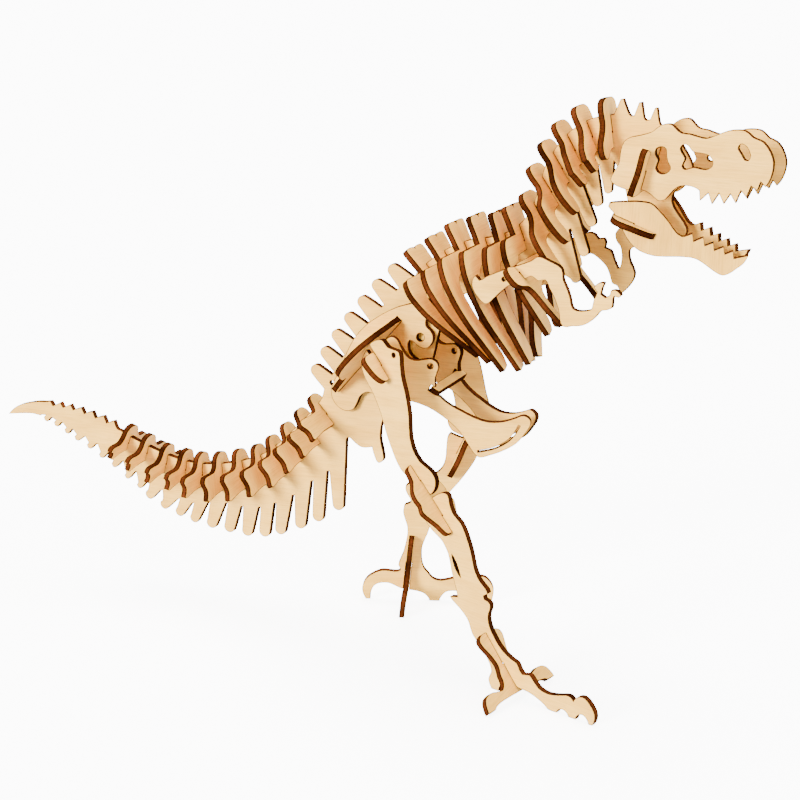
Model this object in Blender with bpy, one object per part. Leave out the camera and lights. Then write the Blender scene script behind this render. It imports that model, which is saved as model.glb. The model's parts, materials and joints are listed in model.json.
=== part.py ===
"""Slot-together plywood skeleton of a tyrannosaur, one object for every flat plate."""
import math

import bpy
from mathutils import Matrix, Vector

# ---- driving dimensions, millimetres -------------------------------------------------
PLY = 2.5             # sheet thickness
SLIP = 0.2            # clearance on each side of a slot
STEP = 2.4            # longest chord on a curved edge
HIP_X = 38.5          # where both leg planes cross the hip line
HIP_Y_RIGHT = 29.8    # distance of the right leg plane from the spine plate
HIP_Y_LEFT = 32.2     # the same for the left leg plane
SPLAY_RIGHT = 16.0    # toe-out of the right leg, degrees
SPLAY_LEFT = 20.0     # toe-out of the left leg, degrees
SKULL_Y = 13.0        # skull side plates from the middle
SKULL_NOD = 4.0       # the left skull plate sits nose-down in its loose slot
HOLE_SHIFT = (3.6, 1.4)  # the left skull plate's eye and cheek openings sit further on
JAW_TURN = 16.0       # jaw plates close towards the chin by this angle
ARM_Y = 28.5          # arm plates from the middle
PUBIS_Y = 14.0        # pubis plates from the middle, at their pin hole
PUBIS_TURN = 13.0     # pubis plates close towards the front by this angle
ILIUM_Y = PLY + 0.3   # hip blades lie flat on the spine plate
SHELF_ANGLE = 49.0    # slope of the hip shelf

WOOD = (0.86, 0.68, 0.44)

for old in list(bpy.data.objects):
    bpy.data.objects.remove(old, do_unlink=True)


# ---- drawing helpers -----------------------------------------------------------------
def rounded(points, closed=True, step=STEP):
    """Curve through the points; a third entry of 1 keeps that point a sharp corner."""
    count = len(points)
    out = []
    last = count if closed else count - 1
    for i in range(last):
        p1 = points[i]
        p2 = points[(i + 1) % count]
        p0 = points[i - 1] if (closed or i > 0) else p1
        p3 = points[(i + 2) % count] if (closed or i + 2 < count) else p2
        a = Vector(p1[:2])
        b = Vector(p2[:2])
        gap = (b - a).length
        before = (b - Vector(p0[:2]))
        after = (Vector(p3[:2]) - a)
        ta = Vector((0, 0)) if len(p1) > 2 else before.normalized() * gap
        tb = Vector((0, 0)) if len(p2) > 2 else after.normalized() * gap
        if len(p1) > 2 and len(p2) > 2:
            pieces = 1
        else:
            bend = before.angle(after, 0.0) if before.length * after.length else 0.0
            pieces = max(1, min(math.ceil(gap / step), math.ceil(bend / 0.30) + 1))
            if len(p1) > 2:
                ta = (b - a) * 2.0 - tb if tb.length else b - a
            if len(p2) > 2:
                tb = (b - a) * 2.0 - ta if ta.length else b - a
        for k in range(pieces):
            t = k / pieces
            h1 = 2 * t ** 3 - 3 * t ** 2 + 1
            h2 = t ** 3 - 2 * t ** 2 + t
            h3 = -2 * t ** 3 + 3 * t ** 2
            h4 = t ** 3 - t ** 2
            out.append(a * h1 + ta * h2 + b * h3 + tb * h4)
    if not closed:
        out.append(Vector(points[-1][:2]))
    return [(v.x, v.y) for v in out]


def finger(root_a, root_b, tip, width):
    """Round-ended finger: from root_a out to the tip and back to root_b."""
    middle = (Vector(root_a) + Vector(root_b)) / 2
    way = (Vector(tip) - middle).normalized()
    side = Vector((-way.y, way.x))
    if side.dot(Vector(root_a) - middle) < 0:
        side = -side
    centre = Vector(tip) - way * width / 2
    out = [tuple(root_a)]
    for k in range(5):
        turn = math.pi * k / 4
        spot = centre + side * math.cos(turn) * width / 2 + way * math.sin(turn) * width / 2
        out.append((spot.x, spot.y))
    out.append(tuple(root_b))
    return out


def mirrored(half):
    """Full outline of a crossplate from its right half, listed top to bottom."""
    left = []
    for p in reversed(half):
        if abs(p[0]) > 0.01:
            left.append((-p[0],) + tuple(p[1:]))
    return list(half) + left


def ring(centre, radius, count=10):
    out = []
    for k in range(count):
        turn = 2 * math.pi * k / count
        out.append((centre[0] + radius * math.cos(turn), centre[1] + radius * math.sin(turn)))
    return out


# ---- frames --------------------------------------------------------------------------
def frame(origin, across, along):
    """Plate frame: in-plane axes first and second, sheet normal third."""
    a = Vector(across).normalized()
    b = Vector(along).normalized()
    n = a.cross(b).normalized()
    out = Matrix((a, b, n)).transposed().to_4x4()
    out.translation = Vector(origin)
    return out


def upright(y, x=0.0):
    """Sheet parallel to the spine plate, drawn in x and z."""
    return frame((x, y, 0), (1, 0, 0), (0, 0, 1))


def turned(x, y, degrees):
    """Upright sheet swung about a vertical line through x, y."""
    a = math.radians(degrees)
    return frame((x, y, 0), (math.cos(a), math.sin(a), 0), (0, 0, 1))


def crossing(host, spot, degrees):
    """Frame of a crossplate standing square on a host sheet, slot line at degrees."""
    a = math.radians(degrees)
    origin = host @ Vector((spot[0], spot[1], 0))
    turn = host.to_3x3()
    along = turn @ Vector((math.cos(a), math.sin(a), 0))
    across = turn @ Vector((0, 0, 1))
    return frame(origin, across, along)


# ---- solids --------------------------------------------------------------------------
def wood(name):
    made = bpy.data.materials.new(name)
    made.use_nodes = True
    shader = made.node_tree.nodes["Principled BSDF"]
    shader.inputs["Base Color"].default_value = WOOD + (1.0,)
    shader.inputs["Roughness"].default_value = 0.7
    return made


def prism(name, outline, place, low, high):
    """Straight prism over an outline, between two heights on the sheet normal."""
    area = 0.0
    for k, p in enumerate(outline):
        q = outline[(k + 1) % len(outline)]
        area += p[0] * q[1] - q[0] * p[1]
    if area < 0:
        outline = list(reversed(outline))
    count = len(outline)
    verts = [(p[0] / 1000, p[1] / 1000, low / 1000) for p in outline]
    verts += [(p[0] / 1000, p[1] / 1000, high / 1000) for p in outline]
    faces = [tuple(reversed(range(count))), tuple(range(count, 2 * count))]
    for k in range(count):
        n = (k + 1) % count
        faces.append((k, n, count + n, count + k))
    mesh = bpy.data.meshes.new(name)
    mesh.from_pydata(verts, [], faces)
    mesh.update()
    made = bpy.data.objects.new(name, mesh)
    where = place.copy()
    where.translation = place.translation / 1000
    made.matrix_world = where
    bpy.context.scene.collection.objects.link(made)
    return made


def carve(target, tools):
    """Cut the tool solids out of the target for good."""
    for tool in tools:
        tool.hide_render = True
        tool.display_type = "WIRE"
        cut = target.modifiers.new("cut", "BOOLEAN")
        cut.operation = "DIFFERENCE"
        cut.solver = "EXACT"
        cut.object = tool
    bpy.context.view_layer.update()
    seen = target.evaluated_get(bpy.context.evaluated_depsgraph_get())
    cutted = bpy.data.meshes.new_from_object(seen)
    old = target.data
    target.modifiers.clear()
    target.data = cutted
    bpy.data.meshes.remove(old)
    for tool in tools:
        bpy.data.objects.remove(tool, do_unlink=True)


def plate(name, outline, place, holes=()):
    """One flat sheet piece, its drawing plane in the middle of the sheet."""
    made = prism(name, outline, place, -PLY / 2, PLY / 2)
    tools = []
    for hole in holes:
        tools.append(prism("tool", hole, place, -PLY, PLY))
    if tools:
        carve(made, tools)
    made.data.materials.clear()
    made.data.materials.append(wood(name + "_ply"))
    return made


def normal_of(place):
    return place.to_3x3() @ Vector((0, 0, 1))


def slot_line(place_a, place_b, hint):
    """Point and direction of the line where two sheets cross, near a hint point."""
    na = normal_of(place_a)
    nb = normal_of(place_b)
    along = na.cross(nb).normalized()
    sums = Matrix((na, nb, along))
    right = Vector((na.dot(place_a.translation), nb.dot(place_b.translation), along.dot(hint)))
    return sums.inverted() @ right, along


def slab(spot, along, normal, low, high, reach=5.5):
    """Box as thick as a slotted sheet, used as a slot cutter."""
    side = Vector(normal).cross(Vector(along)).normalized()
    place = frame(spot, along, side)
    half = PLY / 2 + SLIP
    corners = [(low, -reach), (high, -reach), (high, reach), (low, reach)]
    return prism("tool", corners, place, -half, half)


def lap(above, above_place, below, below_place, hint, up, spans):
    """Cross-halving joint: the first piece is cut above the middle, the second below it.

    hint is a point near the crossing, up the way that counts as above, and spans holds
    bottom, middle and top of the joint measured from the hint along the crossing line.
    """
    bottom, middle, top = spans
    spot, along = slot_line(above_place, below_place, hint)
    if along.dot(up) < 0:
        along = -along
    carve(above, [slab(spot, along, normal_of(below_place), middle - 0.15, top)])
    carve(below, [slab(spot, along, normal_of(above_place), bottom, middle + 0.15)])


def window(piece, piece_place, other_place, hint, up, low, high):
    """Closed slot that lets another sheet pass sideways through this one."""
    spot, along = slot_line(piece_place, other_place, hint)
    if along.dot(up) < 0:
        along = -along
    carve(piece, [slab(spot, along, normal_of(other_place), low, high)])


def up_of(place):
    return place.to_3x3() @ Vector((0, 1, 0))


SPINE = upright(0.0)


# ---- spine plate ---------------------------------------------------------------------
def spine_outline():
    top = [(-190, 74, 1), (-184, 79), (-177, 81.5), (-171, 82.8), (-167, 83.2)]
    crests = [(-164.5, 84.2), (-158.5, 84.3), (-152.5, 84), (-146, 83.2), (-139.5, 82),
              (-133, 80.5), (-127, 78.8)]
    for k, crest in enumerate(crests):
        deep = 2.6 + 0.25 * k
        top += [(crest[0] + 0.8, crest[1] - 0.3, 1), (crest[0] + 2.2, crest[1] - deep, 1)]
        top += [(crest[0] + 3.4, crest[1] - deep + 0.6)]
    top = top[:-1]
    top += [(-121, 73.2), (-118.5, 72), (-108.3, 68.6), (-97.6, 65.4), (-87, 63.6), (-78.5, 63.2),
            (-67.5, 64.6), (-56.5, 67.4), (-46, 71.4), (-38, 76.6), (-29.6, 84.2), (-21.6, 92.4),
            (-14.2, 100.5), (-11.5, 104.5, 1), (-10.4, 108.6, 1)]
    out = rounded(top, closed=False)
    roots = [(-10.4, 108.6), (-6, 117), (-0.7, 125.6), (5.6, 134.2), (12, 142.6), (19, 150.6),
             (26.2, 158.8), (34.5, 165.6)]
    for k in range(7):
        a = Vector(roots[k])
        b = Vector(roots[k + 1])
        run = (b - a).normalized()
        lift = Vector((-0.80, 0.60))
        a2 = a + run * (1.4 if k else 0.6)
        b2 = b - run * 1.4
        tip = (a2 + b2) / 2 + lift * 10.2
        out += finger(a2, b2, tip, 6.0)[1:-1]
        out.append(tuple(b - lift * 0.4 - run * 1.2))
        out.append(tuple(b - lift * 0.4 + run * 0.6))
    back = [(35, 166, 1), (40, 171), (47, 176.5), (55, 181), (62, 183.4), (70, 185), (78, 188),
            (84, 193), (88, 199), (91, 209), (93, 216), (96.5, 222.5), (101, 228.6),
            (106, 233), (112, 236.4), (118.5, 238), (121.5, 238.6, 1)]
    out += rounded(back, closed=False)
    out += [(124, 244.6), (125.2, 244.8), (127.6, 239.2), (128.6, 238.2), (129.8, 238.4),
            (131.6, 243.6), (132.8, 243.8), (134, 237.6), (135, 236.8), (136.4, 237.2),
            (138.2, 241.8), (139.2, 241.8), (140.2, 236.4)]
    head = [(141, 235, 1), (147, 231), (151.5, 225.5), (154.5, 219), (152.5, 213.5), (148, 209.5),
            (146.8, 205.5), (148.6, 201.5), (151.4, 198), (153.5, 193.5), (150.5, 189.6), (143, 188.4),
            (135.5, 190.8), (130, 196.5), (128.6, 204), (126, 213), (122.2, 220, 1)]
    out += rounded(head, closed=False)
    # fingers hanging under the neck
    rights = [((122.2, 220), (121.8, 206.5), 3.4), ((115.2, 217), (118.4, 201.5), 4.4),
              ((109, 209.5), (116.4, 193.6), 4.6), ((107, 198.5), (113.6, 180.8), 4.6),
              ((104, 190), (110.4, 169.2), 4.6), ((98, 172), None, 0)]
    for k in range(5):
        start, tip, wide = rights[k]
        end = rights[k + 1][0]
        way = (Vector(tip) - Vector(start)).normalized()
        side = Vector((way.y, -way.x))
        low = Vector(tip) + side * wide / 2
        out += finger(start, Vector(start) + side * wide, low, wide)[1:-1]
        out.append((end[0] + 0.9, end[1] + 1.0))
        if k < 4:
            out.append((end[0] + 0.1, end[1] + 0.6))
    belly = [(98, 168, 1), (92, 166), (80, 167), (66, 163), (54, 156), (48, 147), (45, 136),
             (42.5, 126), (38, 118), (30, 110), (20.5, 100, 1)]
    out += rounded(belly, closed=False)
    out += rounded([(18.6, 96, 1), (17.8, 88), (19.4, 79.4), (17, 76.8), (15.2, 79), (13.6, 84, 1)],
                   closed=False)
    out += [(8.6, 83.2), (5.4, 84.6), (2.6, 86.8), (1.2, 86.8)]
    # long fingers under the root of the tail: right root, tip
    under = [((0.6, 85.5), (-1.6, 50.8)), ((-9.5, 69), (-12.4, 43.6)), ((-18, 63), (-22, 38.6)),
             ((-28, 54.5), (-33, 34)), ((-38, 49), (-41.6, 31.4)), ((-46.5, 45.6), (-51.4, 30.4)),
             ((-56, 44.6), (-61.4, 30.8)), ((-64.5, 45), (-71.4, 31.6)), ((-74.5, 43.6), (-81, 33)),
             ((-83.5, 42), (-89.6, 35.4)), ((-91.5, 43), (-98.4, 38.2)),
             ((-101.2, 46), (-106.8, 42.2)), ((-108.4, 50), (-113, 46.2)),
             ((-115.4, 53.6), (-120, 50.2)), ((-122.8, 58), (-127.4, 55.2)),
             ((-130.6, 61.5), (-134.6, 59)), ((-137.6, 65), (-141.6, 63)),
             ((-144.6, 67.8), (-148.8, 66.4)), ((-151.8, 70.6), (-154.6, 69.2)),
             ((-158, 73.4), (-160.8, 72.2)), ((-164, 75.2), (-166.8, 74.2)), ((-170.4, 75.8), None)]
    for k in range(21):
        start = under[k][0]
        tip = Vector(under[k][1]) - Vector((2.8 if k < 12 else 1.5, 0))
        end = under[k + 1][0]
        wide = 5.8 if k < 8 else (5.0 if k < 12 else 3.4)
        way = (tip - Vector(start)).normalized()
        out.append((start[0], start[1]))
        side = Vector((way.y, -way.x))
        ball = tip - way * wide / 2
        turns = 4 if k < 12 else 3
        for m in range(turns + 1):
            turn = math.pi * m / turns
            spot = ball - side * math.cos(turn) * wide / 2 + way * math.sin(turn) * wide / 2
            out.append((spot.x, spot.y))
        out.append((end[0] + (1.3 if k < 12 else 0.7), end[1] + 0.3))
    out += [(-170.4, 75.6), (-176, 76), (-183, 75)]
    return out


def build_spine():
    holes = [ring((-6.4, 112), 1.1, 8)]
    return plate("spine_plate", spine_outline(), SPINE, holes)


spine = build_spine()


# ---- crossplates of the tail ---------------------------------------------------------
def vertebra_half(width, depth):
    return [(0, 5.6), (2.8, 5.0), (4.8, 3.2), (6.0, 0), (8.2, -2.2), (width - 3.4, -2.4),
            (width - 0.6, -2.9), (width + 0.5, -4.8), (width - 1.3, -depth * 0.58),
            (width - 1.5, -depth * 0.76), (width - 0.5, -depth + 0.9), (width - 1.6, -depth),
            (width - 3.4, -depth + 0.3), (width * 0.45, -depth + 1.4), (0, -depth + 1.6)]


TAIL_SPOTS = [(-118.5, 72), (-108.3, 68.4), (-97.6, 64.9), (-86.9, 63.6), (-78, 63.2), (-67.4, 64.7),
              (-56.4, 67.6), (-46, 71.4), (-37.6, 77), (-29.4, 84.4), (-21.6, 92.4), (-14.2, 100.2)]
TAIL_ANGLES = [72, 76, 79, 83, 88, 96, 102, 107, 114, 120, 127, 133]
TAIL_WIDTHS = [15, 16.2, 16.3, 16.6, 17, 17.2, 18.4, 18.6, 17, 18, 19.6, 23.5]
TAIL_DEPTHS = [9.2, 9.6, 10.6, 11, 13, 14.6, 15.2, 15.4, 16, 15.4, 15.2, 13.4]


def build_tail():
    made = []
    for k in range(12):
        place = crossing(SPINE, TAIL_SPOTS[k], TAIL_ANGLES[k])
        half = vertebra_half(TAIL_WIDTHS[k], TAIL_DEPTHS[k])
        name = "tail_vertebra_%02d" % (k + 1)
        made.append((plate(name, rounded(mirrored(half)), place), place, TAIL_DEPTHS[k]))
    return made


# ---- ribs ----------------------------------------------------------------------------
def rib_half(reach, length, tip):
    """Square-topped finger, shoulder and one long leg of a rib plate."""
    half = [(0, -0.9), (0.9, 0.1), (6.0, 0.4), (8.3, -0.6), (8.1, -6), (7.8, -11.6, 1),
            (reach - 9, -11.8), (reach - 4, -12.4)]
    run = length - 12
    for part, out in ((0.12, 0.97), (0.22, 1.0), (0.37, 0.94), (0.54, 0.76), (0.72, 0.47), (0.88, 0.2)):
        half.append((tip + (reach - tip) * out, -12 - run * part))
    half += [(tip, -length, 1), (tip - 4.6, -length + 1.4, 1)]
    for part, out in ((0.86, 0.16), (0.70, 0.40), (0.54, 0.64), (0.38, 0.80), (0.27, 0.84), (0.20, 0.74)):
        half.append((tip - 7.5 + (reach - tip) * out, -12 - run * part))
    half += [(12, -20.2), (0, -19.6)]
    return half


RIB_SPOTS = [(32.8, 176.7), (42.7, 183.1), (51.9, 189.6), (61.9, 193.4), (71.8, 195.6), (77.6, 198.5)]
RIB_ANGLES = [131.5, 123.5, 116, 111, 106, 112]
RIB_REACH = [30, 31, 31.5, 30, 26.4, 24]
RIB_LENGTHS = [55, 59, 66, 68, 65.5, 56]
RIB_TIPS = [13, 15.5, 14, 9, 7.5, 9]


def build_ribs():
    made = []
    for k in range(6):
        place = crossing(SPINE, RIB_SPOTS[k], RIB_ANGLES[k])
        half = rib_half(RIB_REACH[k], RIB_LENGTHS[k], RIB_TIPS[k])
        made.append((plate("rib_%02d" % (k + 1), rounded(mirrored(half)), place), place))
    return made


# ---- neck crossplates ----------------------------------------------------------------
def neck_half(wide, low):
    return [(0, 7.0), (4.4, 6.8), (8.0, 5.0), (8.8, 1.6), (8.4, -2.5), (11, -6), (wide - 1.6, -10),
            (wide, -15), (wide - 1.2, -low + 5), (wide - 5, -low), (wide - 9.4, -low + 0.6),
            (wide - 10, -low + 4.5), (wide - 8.6, -16.4), (5, -13.6), (0, -13.2)]


NECK_SPOTS = [(87.8, 198.8), (91, 210.4), (95.5, 220.4), (101, 228.4), (108.7, 234.8), (118.6, 238)]
NECK_ANGLES = [123, 126, 124, 121, 115, 100]
NECK_WIDE = [18, 20, 16.6, 14.4, 17]
NECK_LOW = [31, 28, 25.5, 21, 20]


NECK_TOP_HALF = [(0, 7.0), (4.4, 6.8), (8.0, 5.0), (8.8, 1.6), (8.4, -2.5), (10.4, -6), (13.8, -9.6),
                 (14.8, -12.6), (13.4, -15.8), (10, -16.6), (7.4, -14.8), (5, -13.5), (0, -13.2)]


def build_neck():
    made = []
    for k in range(6):
        place = crossing(SPINE, NECK_SPOTS[k], NECK_ANGLES[k])
        half = NECK_TOP_HALF if k == 5 else neck_half(NECK_WIDE[k], NECK_LOW[k])
        made.append((plate("neck_vertebra_%02d" % (k + 1), rounded(mirrored(half)), place), place))
    return made


# ---- shoulders and arms --------------------------------------------------------------
ARM = [(72.8, 171), (74.2, 174.2), (76, 172.4), (79, 174.2), (85.5, 177.2), (98, 182.2), (101, 184.2),
       (106, 182.8), (111, 180.2), (111.8, 176), (113.6, 172.2), (115, 168.4), (116, 164.8),
       (118.2, 163.8), (122, 164.2), (123.8, 165), (124.8, 169), (126, 172.2), (124.6, 173.8),
       (126.6, 175.8), (129, 176, 1), (128, 173.4), (127.6, 171.4), (129.4, 170.2), (131, 171.2),
       (131.6, 173.2), (133.6, 173.6), (136, 171.6, 1), (135, 170.6), (133, 171), (132.6, 168.2),
       (132.4, 166.2), (130.4, 165.2), (128, 164.6), (126, 162.2), (123.4, 159.6), (120, 157.8),
       (116, 157.2), (112, 156.8), (110.2, 163.4), (108.4, 168), (106, 172.2), (104.4, 175),
       (101.4, 174.4), (98.4, 176), (94.6, 173.8), (88.4, 171), (83, 166), (79, 162.8),
       (75.6, 165.2), (73.4, 168.2)]
SHOULDER_SPOT = (92.5, 176)
SHOULDER_HALF = [(0, 4.2), (24, 4.2), (31, 3.6), (36, 4.4), (38.4, 2.4), (39, -1.6), (37.4, -4.2),
                 (34, -5.6), (30.2, -6.8), (28.4, -11), (28, -18), (26.6, -27, 1), (22.8, -26.4, 1),
                 (23.8, -18), (22.4, -11.6), (17, -8), (9, -6.6), (0, -6.4)]
ARM_LEFT = ARM[:6] + [(103.5, 184.6), (106.4, 184), (108, 182.2), (110.4, 182.6), (111.4, 180.4),
                      (111, 178.6), (113.6, 177.6), (115.4, 173.6), (117, 170.2, 1), (118, 170.4, 1),
                      (118.6, 175.6), (117.8, 179.6), (116.2, 181.6), (115.4, 185), (117.4, 188),
                      (120, 190.6, 1), (121, 188.2), (124.4, 190, 1), (125.6, 187), (123, 183.6),
                      (124, 180.2), (122, 178.4), (122, 175), (123.2, 172), (124.6, 168.6),
                      (123.8, 165), (121, 161),
                      (119.4, 159.4), (117, 162.4), (115, 163.2), (114, 165.6), (112.2, 170),
                      (108.4, 173.6), (105, 175.4)] + ARM[43:]


def build_shoulder():
    place = crossing(SPINE, SHOULDER_SPOT, 132)
    bar = plate("shoulder_crossplate", rounded(mirrored(SHOULDER_HALF)), place)
    arms = []
    for name, y in (("arm_right", -ARM_Y), ("arm_left", ARM_Y)):
        holes = [ring((86.6, 173.8), 0.9, 8)]
        outline = rounded(ARM if y < 0 else ARM_LEFT)
        arms.append((plate(name, outline, upright(y), holes), upright(y)))
    return bar, place, arms


# ---- skull and jaw -------------------------------------------------------------------
SKULL = [(124, 214.6), (125.4, 217.4), (127, 220.4), (127.5, 225), (128.6, 228.6), (131, 230.6),
         (135, 231.6), (140, 233.4), (143, 235.8), (147, 236.6), (149.2, 235), (151.4, 233.4),
         (155, 233), (161, 231.8), (165, 233.2), (170, 235.2), (176, 235.4), (179.4, 233),
         (183, 231.6), (185.8, 228.4), (187.5, 224), (187, 218.6), (185, 214.5, 1)]
TEETH = [(183.2, 216.4), (182, 213), (179.6, 214.6), (178, 210), (175.8, 212.6), (174, 207.6),
         (171.8, 211), (169.4, 207), (167.4, 211), (164.8, 206.6), (163.2, 210.8), (160, 207.6)]
SKULL_LOW = [(159.6, 211.6, 1), (156, 213), (151.5, 212.6), (148.6, 210), (146, 207), (143.4, 206.6),
             (140.4, 208.8), (136.6, 210.4), (131, 210), (126, 211.4), (124, 213)]
KEYHOLE = [(143.6, 227.6), (141.8, 226.6), (141.6, 224.6), (142.8, 222.4), (142, 219.2), (143.4, 217.4),
           (146, 217.4), (147.8, 219.6), (146.6, 222), (146, 224.6), (145.6, 227)]
ORBIT = [(152.6, 229), (151.4, 227), (153.4, 223.6), (152.4, 220.6), (153.6, 219.4), (157, 220.4),
         (161.6, 219.8), (164.2, 221.6), (163.6, 224.4), (161, 225.8), (156.4, 226.4), (154.4, 228.6)]
NOSTRIL = [(174.6, 230.2), (173.8, 228.6), (175, 226.8), (176.6, 224.4), (177.8, 224.2), (178.6, 226),
           (177.6, 228.6), (176.2, 230)]
JAW = [(0.2, 204.2), (0.6, 205.6), (4, 206.2), (8, 206.4), (16.4, 206), (20.6, 202.6), (24.2, 198.6),
       (27.4, 194.4), (30, 193, 1), (33.6, 194.4, 1), (34.2, 191.2, 1), (38, 193, 1), (38.6, 189.6, 1),
       (42, 191, 1), (42.4, 187.8, 1), (46, 189.4, 1), (46.6, 186.4, 1), (49.8, 187.8, 1),
       (50.2, 184.8, 1), (55.8, 186.2, 1), (54, 182.8), (51.6, 180.8), (49, 178.8), (46.2, 177.8), (43.2, 179),
       (39.8, 181.4), (36.4, 183.6), (33.2, 184.6), (27.2, 184.8), (19.4, 184.8), (13.4, 186.6),
       (9.6, 189.6), (6.6, 194), (4, 199.4), (2, 202.2)]
BAR_HALF = [(0, 1.4), (9, 1.4), (14, 0.4), (18.6, 2.2), (21, 0.8), (20.8, -4), (20.6, -8),
            (22, -12), (23, -16.4, 1), (17, -16.6), (8, -15.6), (0, -15.2)]


def tilted(y, pivot, degrees):
    """Upright sheet nosed down about a point on it."""
    a = math.radians(degrees)
    first = Vector((math.cos(a), 0, -math.sin(a)))
    second = Vector((math.sin(a), 0, math.cos(a)))
    origin = Vector((pivot[0], y, pivot[1])) - first * pivot[0] - second * pivot[1]
    return frame(origin, first, second)


def build_skull():
    outline = rounded(SKULL, closed=False) + TEETH + rounded(SKULL_LOW, closed=False)
    made = []
    lower = [(p[0] + 1.2, p[1] + 0.8) for p in outline]
    for name, y, nod in (("skull_side_right", -SKULL_Y, 0), ("skull_side_left", SKULL_Y, SKULL_NOD)):
        holes = []
        for hole in (KEYHOLE, ORBIT, NOSTRIL):
            move = HOLE_SHIFT if nod and hole is not NOSTRIL else (0, 0)
            fine = rounded(hole, step=1.6)
            holes.append([(p[0] + 1.2 + move[0], p[1] + 0.8 + move[1]) for p in fine])
        place = tilted(y, (139.6, 225.6), nod)
        made.append((plate(name, lower, place, holes), place))
    place = crossing(SPINE, (139.6, 225.6), 76)
    bar = plate("skull_crossplate", rounded(mirrored(BAR_HALF)), place)
    jaws = []
    for name, way in (("jaw_side_right", -1), ("jaw_side_left", 1)):
        side = turned(125, way * 16.4, -way * JAW_TURN)
        if way > 0:
            side.translation.z = 2.0
        jaws.append((plate(name, rounded(JAW), side), side))
    jaw_place = crossing(SPINE, (126.8, 199.8), 157)
    jaw_half = [(0, 0.6), (12, 0.6), (16.6, 0.2), (20.4, -2), (20.3, -6), (18.6, -9.6), (17.4, -13),
                (15, -17), (11, -18.6), (6, -17.6), (0, -17.6)]
    jaw_bar = plate("jaw_crossplate", rounded(mirrored(jaw_half)), jaw_place)
    return made, bar, place, jaws, jaw_bar, jaw_place


# ---- hips ----------------------------------------------------------------------------
ILIUM = [(41, 156), (35, 153.6), (26.5, 150.6), (15.5, 144), (7, 135.6), (1.5, 125.4), (-2.4, 116.6),
         (-5.4, 110), (-4, 104), (1, 100.6), (6, 102), (9, 108), (13, 110.6), (20, 109.4),
         (30, 111.6), (37.4, 117.6), (40.4, 123.6), (37.8, 127.6), (34.4, 129.8), (32.8, 133),
         (33.4, 136.6), (36, 135.6), (38.6, 134), (41.6, 134), (44, 136.4), (44.6, 139.4),
         (43.4, 142), (41.2, 144), (41.6, 148), (43.4, 152)]
SHELF_HALF = [(-24, 0), (-24, 7.6, 1), (-17, 10.4), (-12.4, 11.6, 1), (-12.6, 15, 1), (-8, 24), (-2, 31.4),
              (5, 33.6), (12, 31), (18, 22), (21.4, 12), (23, 9, 1), (23, 0)]
PUBIS = [(-19, 139.6), (-16.4, 141.6), (-13.8, 140), (-12.2, 136.8), (-9.6, 133), (-5.6, 131.6), (0, 132.6),
         (2.8, 131.6), (4, 129), (2.6, 124), (3, 119.6), (5, 115.8), (9.5, 112.4), (15, 109.6), (20.4, 107.2),
         (26, 105.8), (32.6, 106.4), (38, 108.4), (41, 109.6), (43.8, 108.2), (44.2, 105.6), (42, 101.6),
         (38.4, 97), (33, 93.4), (27, 90.8), (22, 89.6), (18.8, 92.6), (14, 100), (8, 105.6), (0, 110.6),
         (-7.5, 113), (-14, 114), (-17.6, 120), (-19, 128)]
BOOT_LINE = [(21.5, 92.2), (27, 93.6), (31.4, 95.6), (35, 98.2), (37.4, 101.2), (39.4, 105)]
SPACER_SPOT = (50.4, 118.6)


def groove(points, width):
    """Closed outline of a narrow cut that follows a curve."""
    line = [Vector(p) for p in rounded(points, closed=False)]
    one = []
    two = []
    for k, spot in enumerate(line):
        run = (line[min(k + 1, len(line) - 1)] - line[max(k - 1, 0)]).normalized()
        side = Vector((-run.y, run.x)) * width / 2
        one.append(tuple(spot + side))
        two.append(tuple(spot - side))
    return one + two[::-1]


def build_hips():
    made = {}
    for name, y in (("ilium_right", -ILIUM_Y), ("ilium_left", ILIUM_Y)):
        made[name] = plate(name, rounded(ILIUM), upright(y), [ring((38.6, 138.6), 1.9, 10)])
    angle = math.radians(SHELF_ANGLE)
    place = frame((13.3, 0, 128.4), (math.cos(angle), 0, math.sin(angle)), (0, 1, 0))
    right = rounded(SHELF_HALF, closed=False)
    left = [(p[0], -p[1]) for p in reversed(right)]
    made["hip_shelf"] = plate("hip_shelf", right + left[1:-1], place)
    for name, way in (("pubis_right", -1), ("pubis_left", 1)):
        side = turned(47.5, way * PUBIS_Y, -way * PUBIS_TURN)
        holes = [ring((0.4, 129.4), 1.3, 8), groove(BOOT_LINE, 0.8)]
        made[name] = plate(name, rounded(PUBIS), side, holes)
        made[name + "_frame"] = side
    spacer_place = crossing(SPINE, SPACER_SPOT, -27)
    spacer_half = [(0, 2.1, 1), (15.6, 2.1, 1), (16.2, 0), (15.6, -2.1, 1), (0, -2.1, 1)]
    made["pubis_spacer"] = plate("pubis_spacer", rounded(mirrored(spacer_half)), spacer_place)
    made["spacer_frame"] = spacer_place
    return made, place


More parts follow.
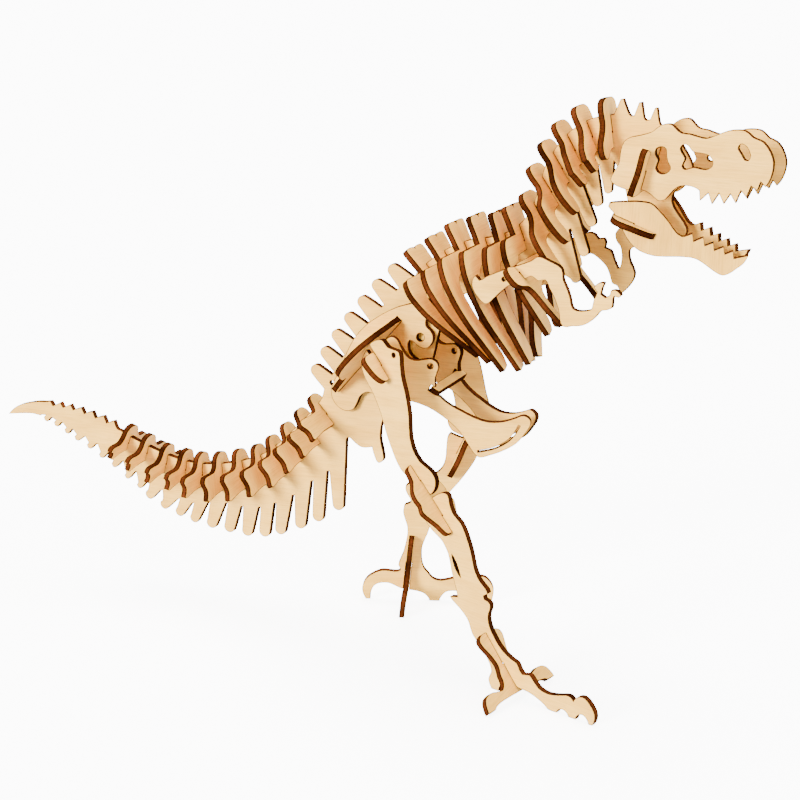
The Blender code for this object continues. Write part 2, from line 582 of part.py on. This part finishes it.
# ---- legs ----------------------------------------------------------------------------
RIGHT_LEG = turned(HIP_X, -HIP_Y_RIGHT, -SPLAY_RIGHT)
LEFT_LEG = turned(HIP_X, HIP_Y_LEFT, SPLAY_LEFT)
FEMUR_R = [(-13.4, 139.6), (-10, 141.8), (-6.4, 142.4), (-3.6, 140), (0, 139.4), (3, 138.6), (3.6, 134),
           (4.4, 128), (6.6, 121), (8.4, 112), (9, 103), (10.8, 97.4), (14.6, 92.8), (19.6, 90.4),
           (22.8, 87.4), (23, 83), (20.6, 79.4, 1), (18, 77.4, 1), (12, 82), (4, 87), (-0.6, 94),
           (-4.4, 102), (-7.4, 110), (-12, 118.4), (-16.6, 124.6), (-18.2, 131)]
LOWER_R = [(19, 76.2, 1), (23, 79.4), (26.6, 81.6), (29.8, 81.4), (31, 77.4), (33, 73.6), (37, 70.4),
           (40, 65.4), (42.6, 59), (44.4, 52.4), (47, 47.6), (51, 44.2), (51.8, 42.6, 1), (49.6, 41, 1),
           (50, 39.6, 1), (53.2, 38.2), (53.2, 36), (52.2, 32.6), (53, 28.4), (55.6, 24), (59.6, 19.6),
           (64.4, 16.8), (67.6, 15.6), (69.2, 13), (70.6, 11.6), (74, 12.4), (76, 10.8), (79, 8),
           (84, 7), (90, 8.4), (94, 9.4), (96.4, 7.8, 1), (97.2, 9.2, 1), (101, 11), (104.4, 9),
           (107, 4.6), (105.6, -0.3, 1), (104.2, -0.3, 1), (101.6, 3), (99, 2.4), (97.6, -0.3, 1),
           (94.4, -0.3, 1), (92.4, 2), (90, 2), (88.2, -0.3, 1), (84.6, -0.3, 1), (80, 2.4), (74, 4.4),
           (69, 4.8), (64, 5.6),
           (60, 3.6), (58.4, -0.3, 1), (55, -0.3, 1), (53, 4), (54.4, 8), (52.6, 12.4), (48, 18),
           (44, 22), (41.6, 27.4), (37.6, 31.4), (33, 34.4), (31.6, 35.8, 1), (35.8, 36.8, 1), (34.6, 41),
           (32.4, 47.6), (30.4, 55), (26.6, 60.4), (21.4, 63.6), (17, 69)]
KNEE_R_HALF = [(0, 0), (2.6, 0), (4.6, -2), (5.6, -7), (8.6, -11), (9.6, -15), (9.2, -18), (10.4, -21),
               (8.6, -25), (6.4, -29), (4.6, -33.4), (2, -34), (0, -34)]
TOES_R_HALF = [(0, 3.4), (3.6, 3.6), (7, 2), (7.2, -1), (5.4, -6), (4.6, -11), (6, -15), (6.6, -18),
               (9.4, -20.6), (15.6, -19.4), (20.6, -20.6), (22.8, -25), (22.4, -27.6, 1), (19, -27.6, 1),
               (17, -25.4), (10, -24.6), (4, -24.6), (0, -24.6)]
FEMUR_L = [(-14, 139.6), (-10, 142), (-5, 142), (0, 140), (4, 137), (9, 129), (12.6, 120), (14.6, 112),
           (16.2, 104), (18, 97), (18, 91), (13, 86.2, 1), (5.4, 83.4, 1), (0.8, 85.6, 1), (-1, 88),
           (-1.6, 90.8), (1, 93.8), (1.6, 100), (-1, 108), (-7, 116), (-13, 123), (-16.4, 131)]
LOWER_L = [(-1.8, 81.8), (-0.2, 84.6, 1), (5.2, 82.4, 1), (12.6, 85, 1), (13.8, 80), (12.2, 73.4),
           (8.6, 67), (4, 60.6), (-3, 52), (-8, 43), (-10.4, 35), (-13, 28), (-13.4, 21.6),
           (-12.4, 17), (-10.4, 14.4),
           (-8, 11.6), (-4, 10.6), (2, 12), (8, 12.6), (12.4, 11.4), (15, 13.4), (18.6, 11.6), (21, 7),
           (20.6, 2), (19.6, -0.3, 1), (18, -0.3, 1), (15, 4), (10, 5), (4, 5.4), (-1, 5), (-3.4, 3),
           (-5, -0.3, 1), (-9.4, -0.3, 1), (-12, 3.4), (-17, 5), (-23.6, 6), (-29, 8.4), (-34.4, 8),
           (-37, 5.6), (-38.2, -0.3, 1), (-40, -0.3, 1), (-42, 5), (-40.4, 10), (-37, 13), (-32, 15),
           (-27, 14.6),
           (-23.6, 15.4), (-24.6, 18), (-22.4, 24), (-20.4, 33), (-20.4, 38), (-22.2, 44.4),
           (-21.4, 48.6), (-18.6, 50), (-20.6, 54.6), (-21, 58), (-15, 61.4), (-8, 64), (-4, 67.6),
           (-2.4, 73)]
KNEE_L_HALF = [(0, 14), (3, 14), (5.4, 11), (6, 4), (5.4, -2), (6, -6), (8.6, -10), (9, -14), (7.4, -18),
               (5, -22), (0, -22.4)]
TOES_L_HALF = [(0, 0), (4, 0), (6.6, -3), (6, -10), (5, -17), (6, -22), (9.4, -24.6), (15.6, -23.6),
               (20.4, -25), (22.6, -29), (21.8, -34, 1), (19, -34, 1), (17, -29.6), (10, -28.4), (0, -28.4)]


SHIN_SLIT_R = [(32.4, 55.4, 1), (35, 52), (37.4, 46, 1), (34.2, 49.8)]


def build_leg(side, place, femur, lower, knee, toes, slits):
    out = {}
    out["femur"] = plate("femur_" + side, rounded(femur), place, [ring((0, 137), 1.1, 8)])
    out["lower"] = plate("lower_leg_" + side, rounded(lower), place, slits)
    spot, angle, half = knee
    out["knee_frame"] = crossing(place, spot, angle)
    out["knee"] = plate("knee_crossplate_" + side, rounded(mirrored(half)), out["knee_frame"])
    spot, angle, half = toes
    out["toes_frame"] = crossing(place, spot, angle)
    out["toes"] = plate("toe_crossplate_" + side, rounded(mirrored(half)), out["toes_frame"])
    return out


tail = build_tail()
ribs = build_ribs()
neck = build_neck()
shoulder, shoulder_place, arms = build_shoulder()
skull, skull_bar, skull_bar_place, jaws, jaw_bar, jaw_bar_place = build_skull()
hips, shelf_place = build_hips()
right = build_leg("right", RIGHT_LEG, FEMUR_R, LOWER_R, ((8.8, 89.4), 133, KNEE_R_HALF),
                  ((52.6, 21.4), 129, TOES_R_HALF), [rounded(SHIN_SLIT_R)])
left = build_leg("left", LEFT_LEG, FEMUR_L, LOWER_L, ((8.6, 84.4), 66, KNEE_L_HALF),
                 ((-18, 33), 84, TOES_L_HALF), [])
BAR_PLACE = crossing(SPINE, (26, 136), 130)
HIP_BAR_HALF = [(0, -0.4), (34, -0.4), (37.6, -1.6), (38.4, -5), (37.6, -10), (35, -13.4),
                (31, -14, 1), (0, -14)]
hip_bar = plate("hip_crossplate", rounded(mirrored(HIP_BAR_HALF)), BAR_PLACE)


# ---- slots ---------------------------------------------------------------------------
def slot_spine():
    for piece, place, depth in tail:
        middle = -(depth - 1.6) / 2
        lap(spine, SPINE, piece, place, place.translation, up_of(place), (-depth - 3, middle, 4))
    for piece, place in ribs:
        lap(spine, SPINE, piece, place, place.translation, up_of(place), (-24, -15.6, -3))
    for piece, place in neck:
        lap(spine, SPINE, piece, place, place.translation, up_of(place), (-17, -6.8, 4))
    spot = shoulder_place.translation
    lap(shoulder, shoulder_place, spine, SPINE, spot, up_of(shoulder_place), (-16, -1.2, 8))
    spot = jaw_bar_place.translation
    lap(spine, SPINE, jaw_bar, jaw_bar_place, spot, up_of(jaw_bar_place), (-24, -9, 3))
    spot = skull_bar_place.translation
    window(spine, SPINE, skull_bar_place, spot, up_of(skull_bar_place), -16.2, 2.8)


def slot_head():
    for piece, place in skull:
        hint = skull_bar_place.translation + Vector((0, place.translation.y, 0))
        lap(skull_bar, skull_bar_place, piece, place, hint, up_of(skull_bar_place), (-26, -7, 6))
    for piece, place in jaws:
        hint = jaw_bar_place.translation + Vector((0, place.translation.y, 0))
        lap(piece, place, jaw_bar, jaw_bar_place, hint, up_of(jaw_bar_place), (-24, -9, 4))
    for piece, place in arms:
        hint = shoulder_place.translation + Vector((0, place.translation.y, 0))
        lap(shoulder, shoulder_place, piece, place, hint, up_of(shoulder_place), (-8, 0.3, 9))


def slot_hips():
    for name, y in (("ilium_right", -ILIUM_Y), ("ilium_left", ILIUM_Y)):
        window(hips[name], upright(y), BAR_PLACE, BAR_PLACE.translation, up_of(BAR_PLACE), -14.3, -0.1)
        forward = shelf_place.to_3x3() @ Vector((1, 0, 0))
        window(hips[name], upright(y), shelf_place, shelf_place.translation, forward, -24.3, 23.3)
    window(spine, SPINE, BAR_PLACE, BAR_PLACE.translation, up_of(BAR_PLACE), -14.3, -0.1)
    window(spine, SPINE, shelf_place, shelf_place.translation, forward, -24.3, 23.3)
    for name in ("pubis_right", "pubis_left"):
        place = hips[name + "_frame"]
        hint = BAR_PLACE @ Vector((0, -9, 0))
        hint.y = place.translation.y
        lap(hips[name], place, hip_bar, BAR_PLACE, hint, up_of(BAR_PLACE), (-9, 0, 12))
        away = hips["spacer_frame"].to_3x3() @ Vector((0, 1, 0))
        hint = hips["spacer_frame"].translation + Vector((0, place.translation.y, 0))
        window(hips[name], place, hips["spacer_frame"], hint, away, -2.9, 2.9)
    for leg, place in ((right, RIGHT_LEG), (left, LEFT_LEG)):
        hint = BAR_PLACE @ Vector((0, -7, 0))
        hint.y = place.translation.y
        lap(leg["femur"], place, hip_bar, BAR_PLACE, hint, up_of(BAR_PLACE), (-10, 0, 14))


def slot_leg(leg, place, knee_spans, shin_spans, toe_spans):
    knee = leg["knee_frame"]
    lap(leg["knee"], knee, leg["femur"], place, knee.translation, up_of(knee), knee_spans)
    lap(leg["lower"], place, leg["knee"], knee, knee.translation, up_of(knee), shin_spans)
    toes = leg["toes_frame"]
    lap(leg["toes"], toes, leg["lower"], place, toes.translation, up_of(toes), toe_spans)
    square = [(-300, -300), (300, -300), (300, 300), (-300, 300)]
    for piece in (leg["lower"], leg["toes"]):
        ground = prism("tool", square, Matrix.Identity(4), -20, 0)
        carve(piece, [ground])


slot_spine()
slot_head()
slot_hips()
slot_leg(right, RIGHT_LEG, (-22, -8, 3), (-38, -25.5, -10), (-30, -11, 8))
slot_leg(left, LEFT_LEG, (-3, 8, 18), (-26, -11, 4), (-33, -14, 4))


# ---- shared frame: middle of the footprint on the floor ------------------------------
def settle():
    bpy.context.view_layer.update()
    low = Vector((1e9, 1e9, 1e9))
    high = -low
    pieces = [item for item in bpy.data.objects if item.type == "MESH"]
    for item in pieces:
        for vertex in item.data.vertices:
            spot = item.matrix_world @ vertex.co
            low = Vector(map(min, low, spot))
            high = Vector(map(max, high, spot))
    shift = Vector(((low.x + high.x) / 2, (low.y + high.y) / 2, low.z))
    for item in pieces:
        item.matrix_world.translation = item.matrix_world.translation - shift
    return shift


SHIFT = settle()
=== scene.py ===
"""Slot-together plywood dinosaur: fine outlines, scorched edges and plain studio light."""
import json
import math
import random

import bmesh
import bpy
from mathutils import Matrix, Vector
from mathutils.geometry import tessellate_polygon


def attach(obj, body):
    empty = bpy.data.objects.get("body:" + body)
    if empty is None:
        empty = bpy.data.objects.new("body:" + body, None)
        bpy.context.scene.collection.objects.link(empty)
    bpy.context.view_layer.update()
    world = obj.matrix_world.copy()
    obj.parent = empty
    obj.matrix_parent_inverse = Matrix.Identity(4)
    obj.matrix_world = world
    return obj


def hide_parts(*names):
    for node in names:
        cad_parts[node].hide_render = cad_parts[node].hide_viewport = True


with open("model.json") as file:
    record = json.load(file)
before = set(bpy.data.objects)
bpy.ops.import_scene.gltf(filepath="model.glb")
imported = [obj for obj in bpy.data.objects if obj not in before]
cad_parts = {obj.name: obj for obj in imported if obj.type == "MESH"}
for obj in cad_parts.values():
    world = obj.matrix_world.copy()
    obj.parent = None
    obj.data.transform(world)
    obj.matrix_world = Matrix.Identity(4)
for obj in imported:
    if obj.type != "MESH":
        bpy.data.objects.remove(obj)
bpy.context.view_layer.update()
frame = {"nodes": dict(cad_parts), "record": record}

SHARP = math.radians(50)     # a turn larger than this is a real corner
STRAIGHT = 0.03              # a turn smaller than this, in radians, is no bend
FINE = 0.0008                # longest chord on a visible curve, metres
MOST_PIECES = 12             # most chords between two outline points
SCORCH = 0.00026             # width of the burnt line round every face, metres
WELD = 0.000002              # points closer than this are one point, metres
LEVEL = 0.0001               # how far a face may lie from the sheet's surface, metres


# ---- reading a flat plate ------------------------------------------------------------
def sheet_normal(mesh):
    """Direction square to the sheet, averaged over the side with the largest face."""
    best = max(mesh.polygons, key=lambda poly: poly.area)
    total = Vector((0, 0, 0))
    for poly in mesh.polygons:
        if poly.normal.dot(best.normal) > 0.999:
            total += poly.normal * poly.area
    return total.normalized()


def rim(faces):
    """Closed loops of vertices round a set of faces, material on the left."""
    inside = set(faces)
    after = {}
    for face in faces:
        for loop in face.loops:
            other = [f for f in loop.edge.link_faces if f is not face]
            if not other or other[0] not in inside:
                after.setdefault(loop.vert, []).append(loop.link_loop_next.vert)
    loops = []
    while after:
        start = next(iter(after))
        path = []
        here = start
        while here in after:
            path.append(here)
            ways = after[here]
            there = ways.pop()
            if not ways:
                del after[here]
            here = there
        loops.append([v.co.copy() for v in path])
    return loops


def read_plate(item):
    """Front and back outlines of a plate, point by point, with the sheet's own axes."""
    normal = sheet_normal(item.data)
    bm = bmesh.new()
    bm.from_mesh(item.data)
    bmesh.ops.remove_doubles(bm, verts=bm.verts, dist=WELD)
    bm.normal_update()
    top = max(v.co.dot(normal) for v in bm.verts)
    low = min(v.co.dot(normal) for v in bm.verts)
    front = [f for f in bm.faces if f.normal.dot(normal) > 0.99 and
             abs(f.calc_center_median().dot(normal) - top) < LEVEL]
    back = [f for f in bm.faces if f.normal.dot(normal) < -0.99 and
            abs(f.calc_center_median().dot(normal) - low) < LEVEL]
    fronts = rim(front)
    backs = [p for loop in rim(back) for p in loop]
    bm.free()
    across = Vector((0, 1, 0)) if abs(normal.y) < 0.9 else Vector((1, 0, 0))
    across = (across - normal * across.dot(normal)).normalized()
    along = normal.cross(across)
    thick = top - low
    pairs = []
    for loop in fronts:
        pair = []
        for p in loop:
            below = p - normal * thick
            near = min(backs, key=lambda q: (q - below).length_squared)
            pair.append((p, near))
        pairs.append(pair)
    return pairs, normal, across, along, thick


# ---- finer outlines ------------------------------------------------------------------
def turn_at(points, k):
    """Change of direction of a closed outline at one point, in radians."""
    a = points[k][0] - points[k - 1][0]
    b = points[(k + 1) % len(points)][0] - points[k][0]
    if a.length < 1e-7 or b.length < 1e-7:
        return 0.0
    return a.angle(b)


def bends(turn):
    return STRAIGHT < turn < SHARP


def refine(pair):
    """Hermite curve through the plate's outline that keeps real corners sharp."""
    count = len(pair)
    turns = [turn_at(pair, k) for k in range(count)]
    out = []
    for k in range(count):
        n = (k + 1) % count
        one = pair[k]
        two = pair[n]
        gap = (two[0] - one[0]).length
        out.append(one)
        bent = bends(turns[k]) or bends(turns[n])
        if gap < 1.3 * FINE or not bent:
            continue
        tangents = []
        for here, before, after in ((k, k - 1, n), (n, k, (n + 1) % count)):
            if turns[here] >= SHARP:
                tangents.append(None)
                continue
            behind = (pair[here][0] - pair[before][0]).length
            ahead = (pair[after][0] - pair[here][0]).length
            reach = min(gap, 2.2 * min(behind, ahead))
            tangents.append((pair[after][0] - pair[before][0]).normalized() * reach)
        chord = two[0] - one[0]
        ta = tangents[0]
        tb = tangents[1]
        if ta is None and tb is None:
            continue
        if ta is None:
            ta = chord if turns[n] >= SHARP else (chord * 1.5 - tb * 0.5)
        if tb is None:
            tb = chord * 1.5 - ta * 0.5
        pieces = max(2, min(MOST_PIECES, math.ceil(gap / FINE)))
        for step in range(1, pieces):
            t = step / pieces
            h1 = 2 * t ** 3 - 3 * t ** 2 + 1
            h2 = t ** 3 - 2 * t ** 2 + t
            h3 = 3 * t ** 2 - 2 * t ** 3
            h4 = t ** 3 - t ** 2
            front = one[0] * (1 - t) + two[0] * t
            curve = one[0] * h1 + ta * h2 + two[0] * h3 + tb * h4
            shift = curve - front
            back = one[1] * (1 - t) + two[1] * t + shift
            out.append((curve, back))
    return out


def inner_line(points, normal, width):
    """Outline moved into the material by a width."""
    count = len(points)
    out = []
    for k in range(count):
        a = points[k] - points[k - 1]
        b = points[(k + 1) % count] - points[k]
        if a.length < 1e-8:
            a = b
        if b.length < 1e-8:
            b = a
        na = normal.cross(a).normalized()
        nb = normal.cross(b).normalized()
        both = na + nb
        scale = 1.0 / max(0.35, 1.0 + na.dot(nb))
        out.append(points[k] + both * scale * width)
    return out


# ---- materials -----------------------------------------------------------------------
def nodes_of(name):
    """New material with its node tree and its shader."""
    made = bpy.data.materials.new(name)
    made.use_nodes = True
    tree = made.node_tree
    shader = tree.nodes["Principled BSDF"]
    return made, tree, shader


def add(tree, kind, **values):
    """New node with its unlinked inputs or settings."""
    node = tree.nodes.new(kind)
    for key, value in values.items():
        if key in node.inputs:
            node.inputs[key].default_value = value
        else:
            setattr(node, key, value)
    return node


def lay_input(tree, scale):
    """Position on the sheet, in millimetres, stretched by a scale vector."""
    lay = add(tree, "ShaderNodeAttribute", attribute_name="lay")
    mapping = add(tree, "ShaderNodeMapping")
    mapping.inputs["Scale"].default_value = scale
    tree.links.new(lay.outputs["Vector"], mapping.inputs["Vector"])
    return mapping.outputs["Vector"]


def ramp(tree, source, stops):
    """Colour ramp over a value, from pairs of place and colour."""
    node = tree.nodes.new("ShaderNodeValToRGB")
    node.color_ramp.elements[0].position = stops[0][0]
    node.color_ramp.elements[0].color = stops[0][1] + (1.0,)
    node.color_ramp.elements[1].position = stops[-1][0]
    node.color_ramp.elements[1].color = stops[-1][1] + (1.0,)
    for place, colour in stops[1:-1]:
        made = node.color_ramp.elements.new(place)
        made.color = colour + (1.0,)
    tree.links.new(source, node.inputs["Fac"])
    return node.outputs["Color"]


def darkened(tree, share, one, two):
    """First colour multiplied by the second, by a share from 0 to 1."""
    node = tree.nodes.new("ShaderNodeMix")
    node.data_type = "RGBA"
    node.blend_type = "MULTIPLY"
    node.inputs["Factor"].default_value = share
    tree.links.new(one, node.inputs["A"])
    tree.links.new(two, node.inputs["B"])
    return node.outputs["Result"]


def face_wood():
    """Sanded birch face: warm cream, long grain, short pores and a faint burnt haze."""
    made, tree, shader = nodes_of("birch_face")
    bands = add(tree, "ShaderNodeTexNoise", Scale=1.0, Detail=3.0, Roughness=0.55, Distortion=0.6)
    tree.links.new(lay_input(tree, (0.012, 0.16, 1.0)), bands.inputs["Vector"])
    base = ramp(tree, bands.outputs["Fac"], [(0.28, (0.76, 0.400, 0.060)),
                                             (0.50, (0.83, 0.458, 0.076)),
                                             (0.74, (0.87, 0.500, 0.100))])
    fibre = add(tree, "ShaderNodeTexNoise", Scale=1.0, Detail=4.0, Roughness=0.7)
    tree.links.new(lay_input(tree, (0.09, 1.9, 1.0)), fibre.inputs["Vector"])
    threads = ramp(tree, fibre.outputs["Fac"], [(0.34, (0.74, 0.68, 0.58)), (0.56, (1.0, 1.0, 1.0))])
    colour = darkened(tree, 0.7, base, threads)
    cloud = add(tree, "ShaderNodeTexNoise", Scale=1.0, Detail=2.0)
    tree.links.new(lay_input(tree, (0.05, 0.07, 1.0)), cloud.inputs["Vector"])
    tone = ramp(tree, cloud.outputs["Fac"], [(0.34, (0.84, 0.79, 0.68)), (0.66, (1.0, 1.0, 1.0))])
    colour = darkened(tree, 0.8, colour, tone)
    tree.links.new(colour, shader.inputs["Base Color"])
    shader.inputs["Roughness"].default_value = 0.66
    shader.inputs["Specular IOR Level"].default_value = 0.12
    bump = add(tree, "ShaderNodeBump", Strength=0.22, Distance=0.00012)
    tree.links.new(fibre.outputs["Fac"], bump.inputs["Height"])
    tree.links.new(bump.outputs["Normal"], shader.inputs["Normal"])
    return made


def wall_wood():
    """Laser-cut edge: black burnt rims, browner core plies, streaks and darker patches."""
    made, tree, shader = nodes_of("scorched_edge")
    lay = add(tree, "ShaderNodeAttribute", attribute_name="lay")
    split = tree.nodes.new("ShaderNodeSeparateXYZ")
    tree.links.new(lay.outputs["Vector"], split.inputs["Vector"])
    rim_burn = (0.0035, 0.0014, 0.0007)
    char = (0.010, 0.0032, 0.0010)
    core = (0.066, 0.0158, 0.0040)
    glue = (0.023, 0.0056, 0.0016)
    middle = (0.092, 0.0225, 0.0056)
    plies = ramp(tree, split.outputs["Y"], [(0.0, rim_burn), (0.13, char), (0.27, core),
                                            (0.39, glue), (0.50, middle), (0.61, glue),
                                            (0.73, core), (0.88, char), (1.0, rim_burn)])
    streak = add(tree, "ShaderNodeTexNoise", Scale=1.0, Detail=3.0, Roughness=0.6)
    tree.links.new(lay_input(tree, (1.6, 0.5, 1.0)), streak.inputs["Vector"])
    shade = ramp(tree, streak.outputs["Fac"], [(0.30, (0.50, 0.46, 0.42)), (0.62, (1.25, 1.2, 1.15))])
    colour = darkened(tree, 0.8, plies, shade)
    patch = add(tree, "ShaderNodeTexNoise", Scale=1.0, Detail=1.0)
    tree.links.new(lay_input(tree, (0.045, 0.0, 1.0)), patch.inputs["Vector"])
    burn = ramp(tree, patch.outputs["Fac"], [(0.36, (0.25, 0.22, 0.20)), (0.64, (1.5, 1.5, 1.5))])
    colour = darkened(tree, 0.85, colour, burn)
    tree.links.new(colour, shader.inputs["Base Color"])
    shader.inputs["Roughness"].default_value = 0.85
    shader.inputs["Specular IOR Level"].default_value = 0.0
    bump = add(tree, "ShaderNodeBump", Strength=0.35, Distance=0.0001)
    tree.links.new(streak.outputs["Fac"], bump.inputs["Height"])
    tree.links.new(bump.outputs["Normal"], shader.inputs["Normal"])
    return made


def line_wood():
    """Thin burnt line where the beam met the face."""
    made, tree, shader = nodes_of("scorch_line")
    spots = add(tree, "ShaderNodeTexNoise", Scale=1.0, Detail=2.0)
    tree.links.new(lay_input(tree, (0.8, 0.8, 1.0)), spots.inputs["Vector"])
    colour = ramp(tree, spots.outputs["Fac"], [(0.30, (0.030, 0.010, 0.003)),
                                               (0.70, (0.16, 0.055, 0.013))])
    tree.links.new(colour, shader.inputs["Base Color"])
    shader.inputs["Roughness"].default_value = 0.8
    shader.inputs["Specular IOR Level"].default_value = 0.0
    return made


FACE = face_wood()
WALL = wall_wood()
LINE = line_wood()


# ---- plates --------------------------------------------------------------------------
def fine_plate(name, body, grain_turn, seed):
    """Finer copy of a plate with separate faces, burnt line and cut edge."""
    pairs, normal, across, along, thick = read_plate(frame["nodes"][name])
    bm = bmesh.new()
    lay = bm.loops.layers.float_vector.new("lay")
    ca = math.cos(grain_turn)
    sa = math.sin(grain_turn)

    def on_sheet(p):
        """Place on the sheet in millimetres, turned to the grain."""
        u = p.dot(across) * 1000
        v = p.dot(along) * 1000
        return Vector((u * ca + v * sa, v * ca - u * sa, seed))

    sides = ([], [])
    for pair in pairs:
        fine = refine(pair)
        fronts = [p[0] for p in fine]
        backs = [p[1] for p in fine]
        outer = [[bm.verts.new(p) for p in fronts], [bm.verts.new(p) for p in backs]]
        inner = [[bm.verts.new(p) for p in inner_line(fronts, normal, SCORCH)],
                 [bm.verts.new(p) for p in inner_line(backs, normal, SCORCH)]]
        run = 0.0
        count = len(fine)
        for k in range(count):
            n = (k + 1) % count
            step = (fronts[n] - fronts[k]).length * 1000
            wall = bm.faces.new((outer[0][k], outer[1][k], outer[1][n], outer[0][n]))
            wall.material_index = 1
            wall.smooth = True
            corners = ((run, 0), (run, 1), (run + step, 1), (run + step, 0))
            for loop, spot in zip(wall.loops, corners):
                loop[lay] = Vector((spot[0], spot[1], seed))
            run += step
            for side in (0, 1):
                quad = [outer[side][k], outer[side][n], inner[side][n], inner[side][k]]
                strip = bm.faces.new(quad if side == 0 else quad[::-1])
                strip.material_index = 2
                for loop in strip.loops:
                    loop[lay] = on_sheet(loop.vert.co)
        sides[0].append(inner[0])
        sides[1].append(inner[1])
    for side in (0, 1):
        rings = sides[side]
        flat = []
        for ring in rings:
            flat.append([Vector((v.co.dot(across) * 1000, v.co.dot(along) * 1000, 0)) for v in ring])
        every = [v for ring in rings for v in ring]
        for corner in tessellate_polygon(flat):
            trio = [every[i] for i in corner]
            a, b, c = [v.co for v in trio]
            facing = (b - a).cross(c - a).dot(normal)
            if abs(facing) < 1e-14:
                continue
            if (facing > 0) != (side == 0):
                trio = trio[::-1]
            face = bm.faces.new(trio)
            for loop in face.loops:
                loop[lay] = on_sheet(loop.vert.co)
    for edge in bm.edges:
        if len(edge.link_faces) == 2:
            one, two = edge.link_faces
            both_walls = one.material_index == 1 and two.material_index == 1
            edge.smooth = both_walls and edge.calc_face_angle(0) < SHARP
        else:
            edge.smooth = False
    mesh = bpy.data.meshes.new(name + "_wood")
    bm.to_mesh(mesh)
    bm.free()
    for material in (FACE, WALL, LINE):
        mesh.materials.append(material)
    made = bpy.data.objects.new(name + "_wood", mesh)
    bpy.context.scene.collection.objects.link(made)
    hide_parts(name)
    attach(made, body)
    return made


random.seed(7)
for body, members in sorted(frame["record"]["behaviour"]["bodies"].items()):
    for member in sorted(members):
        tilt = random.choice((0.0, 0.0, math.pi / 2)) + random.uniform(-0.04, 0.04)
        fine_plate(member, body, tilt, random.uniform(0, 400))


# ---- floor, light and camera ---------------------------------------------------------
def build_floor():
    """White studio floor that glows a little, so that it stays pale all the way back."""
    bpy.ops.mesh.primitive_plane_add(size=240.0, location=(0.0, 0.0, -0.0002))
    floor = bpy.context.object
    floor.name = "floor"
    made, tree, shader = nodes_of("floor_white")
    shader.inputs["Base Color"].default_value = (0.90, 0.90, 0.90, 1.0)
    shader.inputs["Roughness"].default_value = 0.9
    shader.inputs["Specular IOR Level"].default_value = 0.0
    shader.inputs["Emission Color"].default_value = (1.0, 1.0, 1.0, 1.0)
    shader.inputs["Emission Strength"].default_value = 7.0
    floor.data.materials.append(made)
    floor.visible_diffuse = False


def lamp(name, towards, strength, spread):
    """Large soft light far away, shining from a direction."""
    data = bpy.data.lights.new(name, "SUN")
    data.energy = strength
    data.angle = math.radians(spread)
    made = bpy.data.objects.new(name, data)
    made.rotation_euler = Vector(towards).to_track_quat("Z", "Y").to_euler()
    bpy.context.scene.collection.objects.link(made)


def build_light():
    """White surroundings and three soft lamps."""
    world = bpy.data.worlds.new("studio")
    world.use_nodes = True
    world.node_tree.nodes["Background"].inputs["Color"].default_value = (1.0, 1.0, 1.0, 1.0)
    world.node_tree.nodes["Background"].inputs["Strength"].default_value = 1.25
    bpy.context.scene.world = world
    lamp("key", (-0.42, -0.85, 0.26), 11.6, 22.0)
    lamp("fill", (0.85, -0.35, 0.50), 4.2, 50.0)
    lamp("top", (-0.10, 0.30, 1.0), 8.0, 40.0)


def build_camera():
    """Long lens in front of the head's right side, looking slightly down."""
    data = bpy.data.cameras.new("view")
    data.lens = 72.0
    data.sensor_width = 36.0
    data.clip_start = 0.01
    camera = bpy.data.objects.new("view", data)
    camera.location = (0.3119, -0.6116, 0.3106)
    camera.rotation_euler = Vector((-0.3976, 0.8725, -0.2840)).to_track_quat("-Z", "Y").to_euler()
    bpy.context.scene.collection.objects.link(camera)
    bpy.context.scene.camera = camera


build_floor()
build_light()
build_camera()
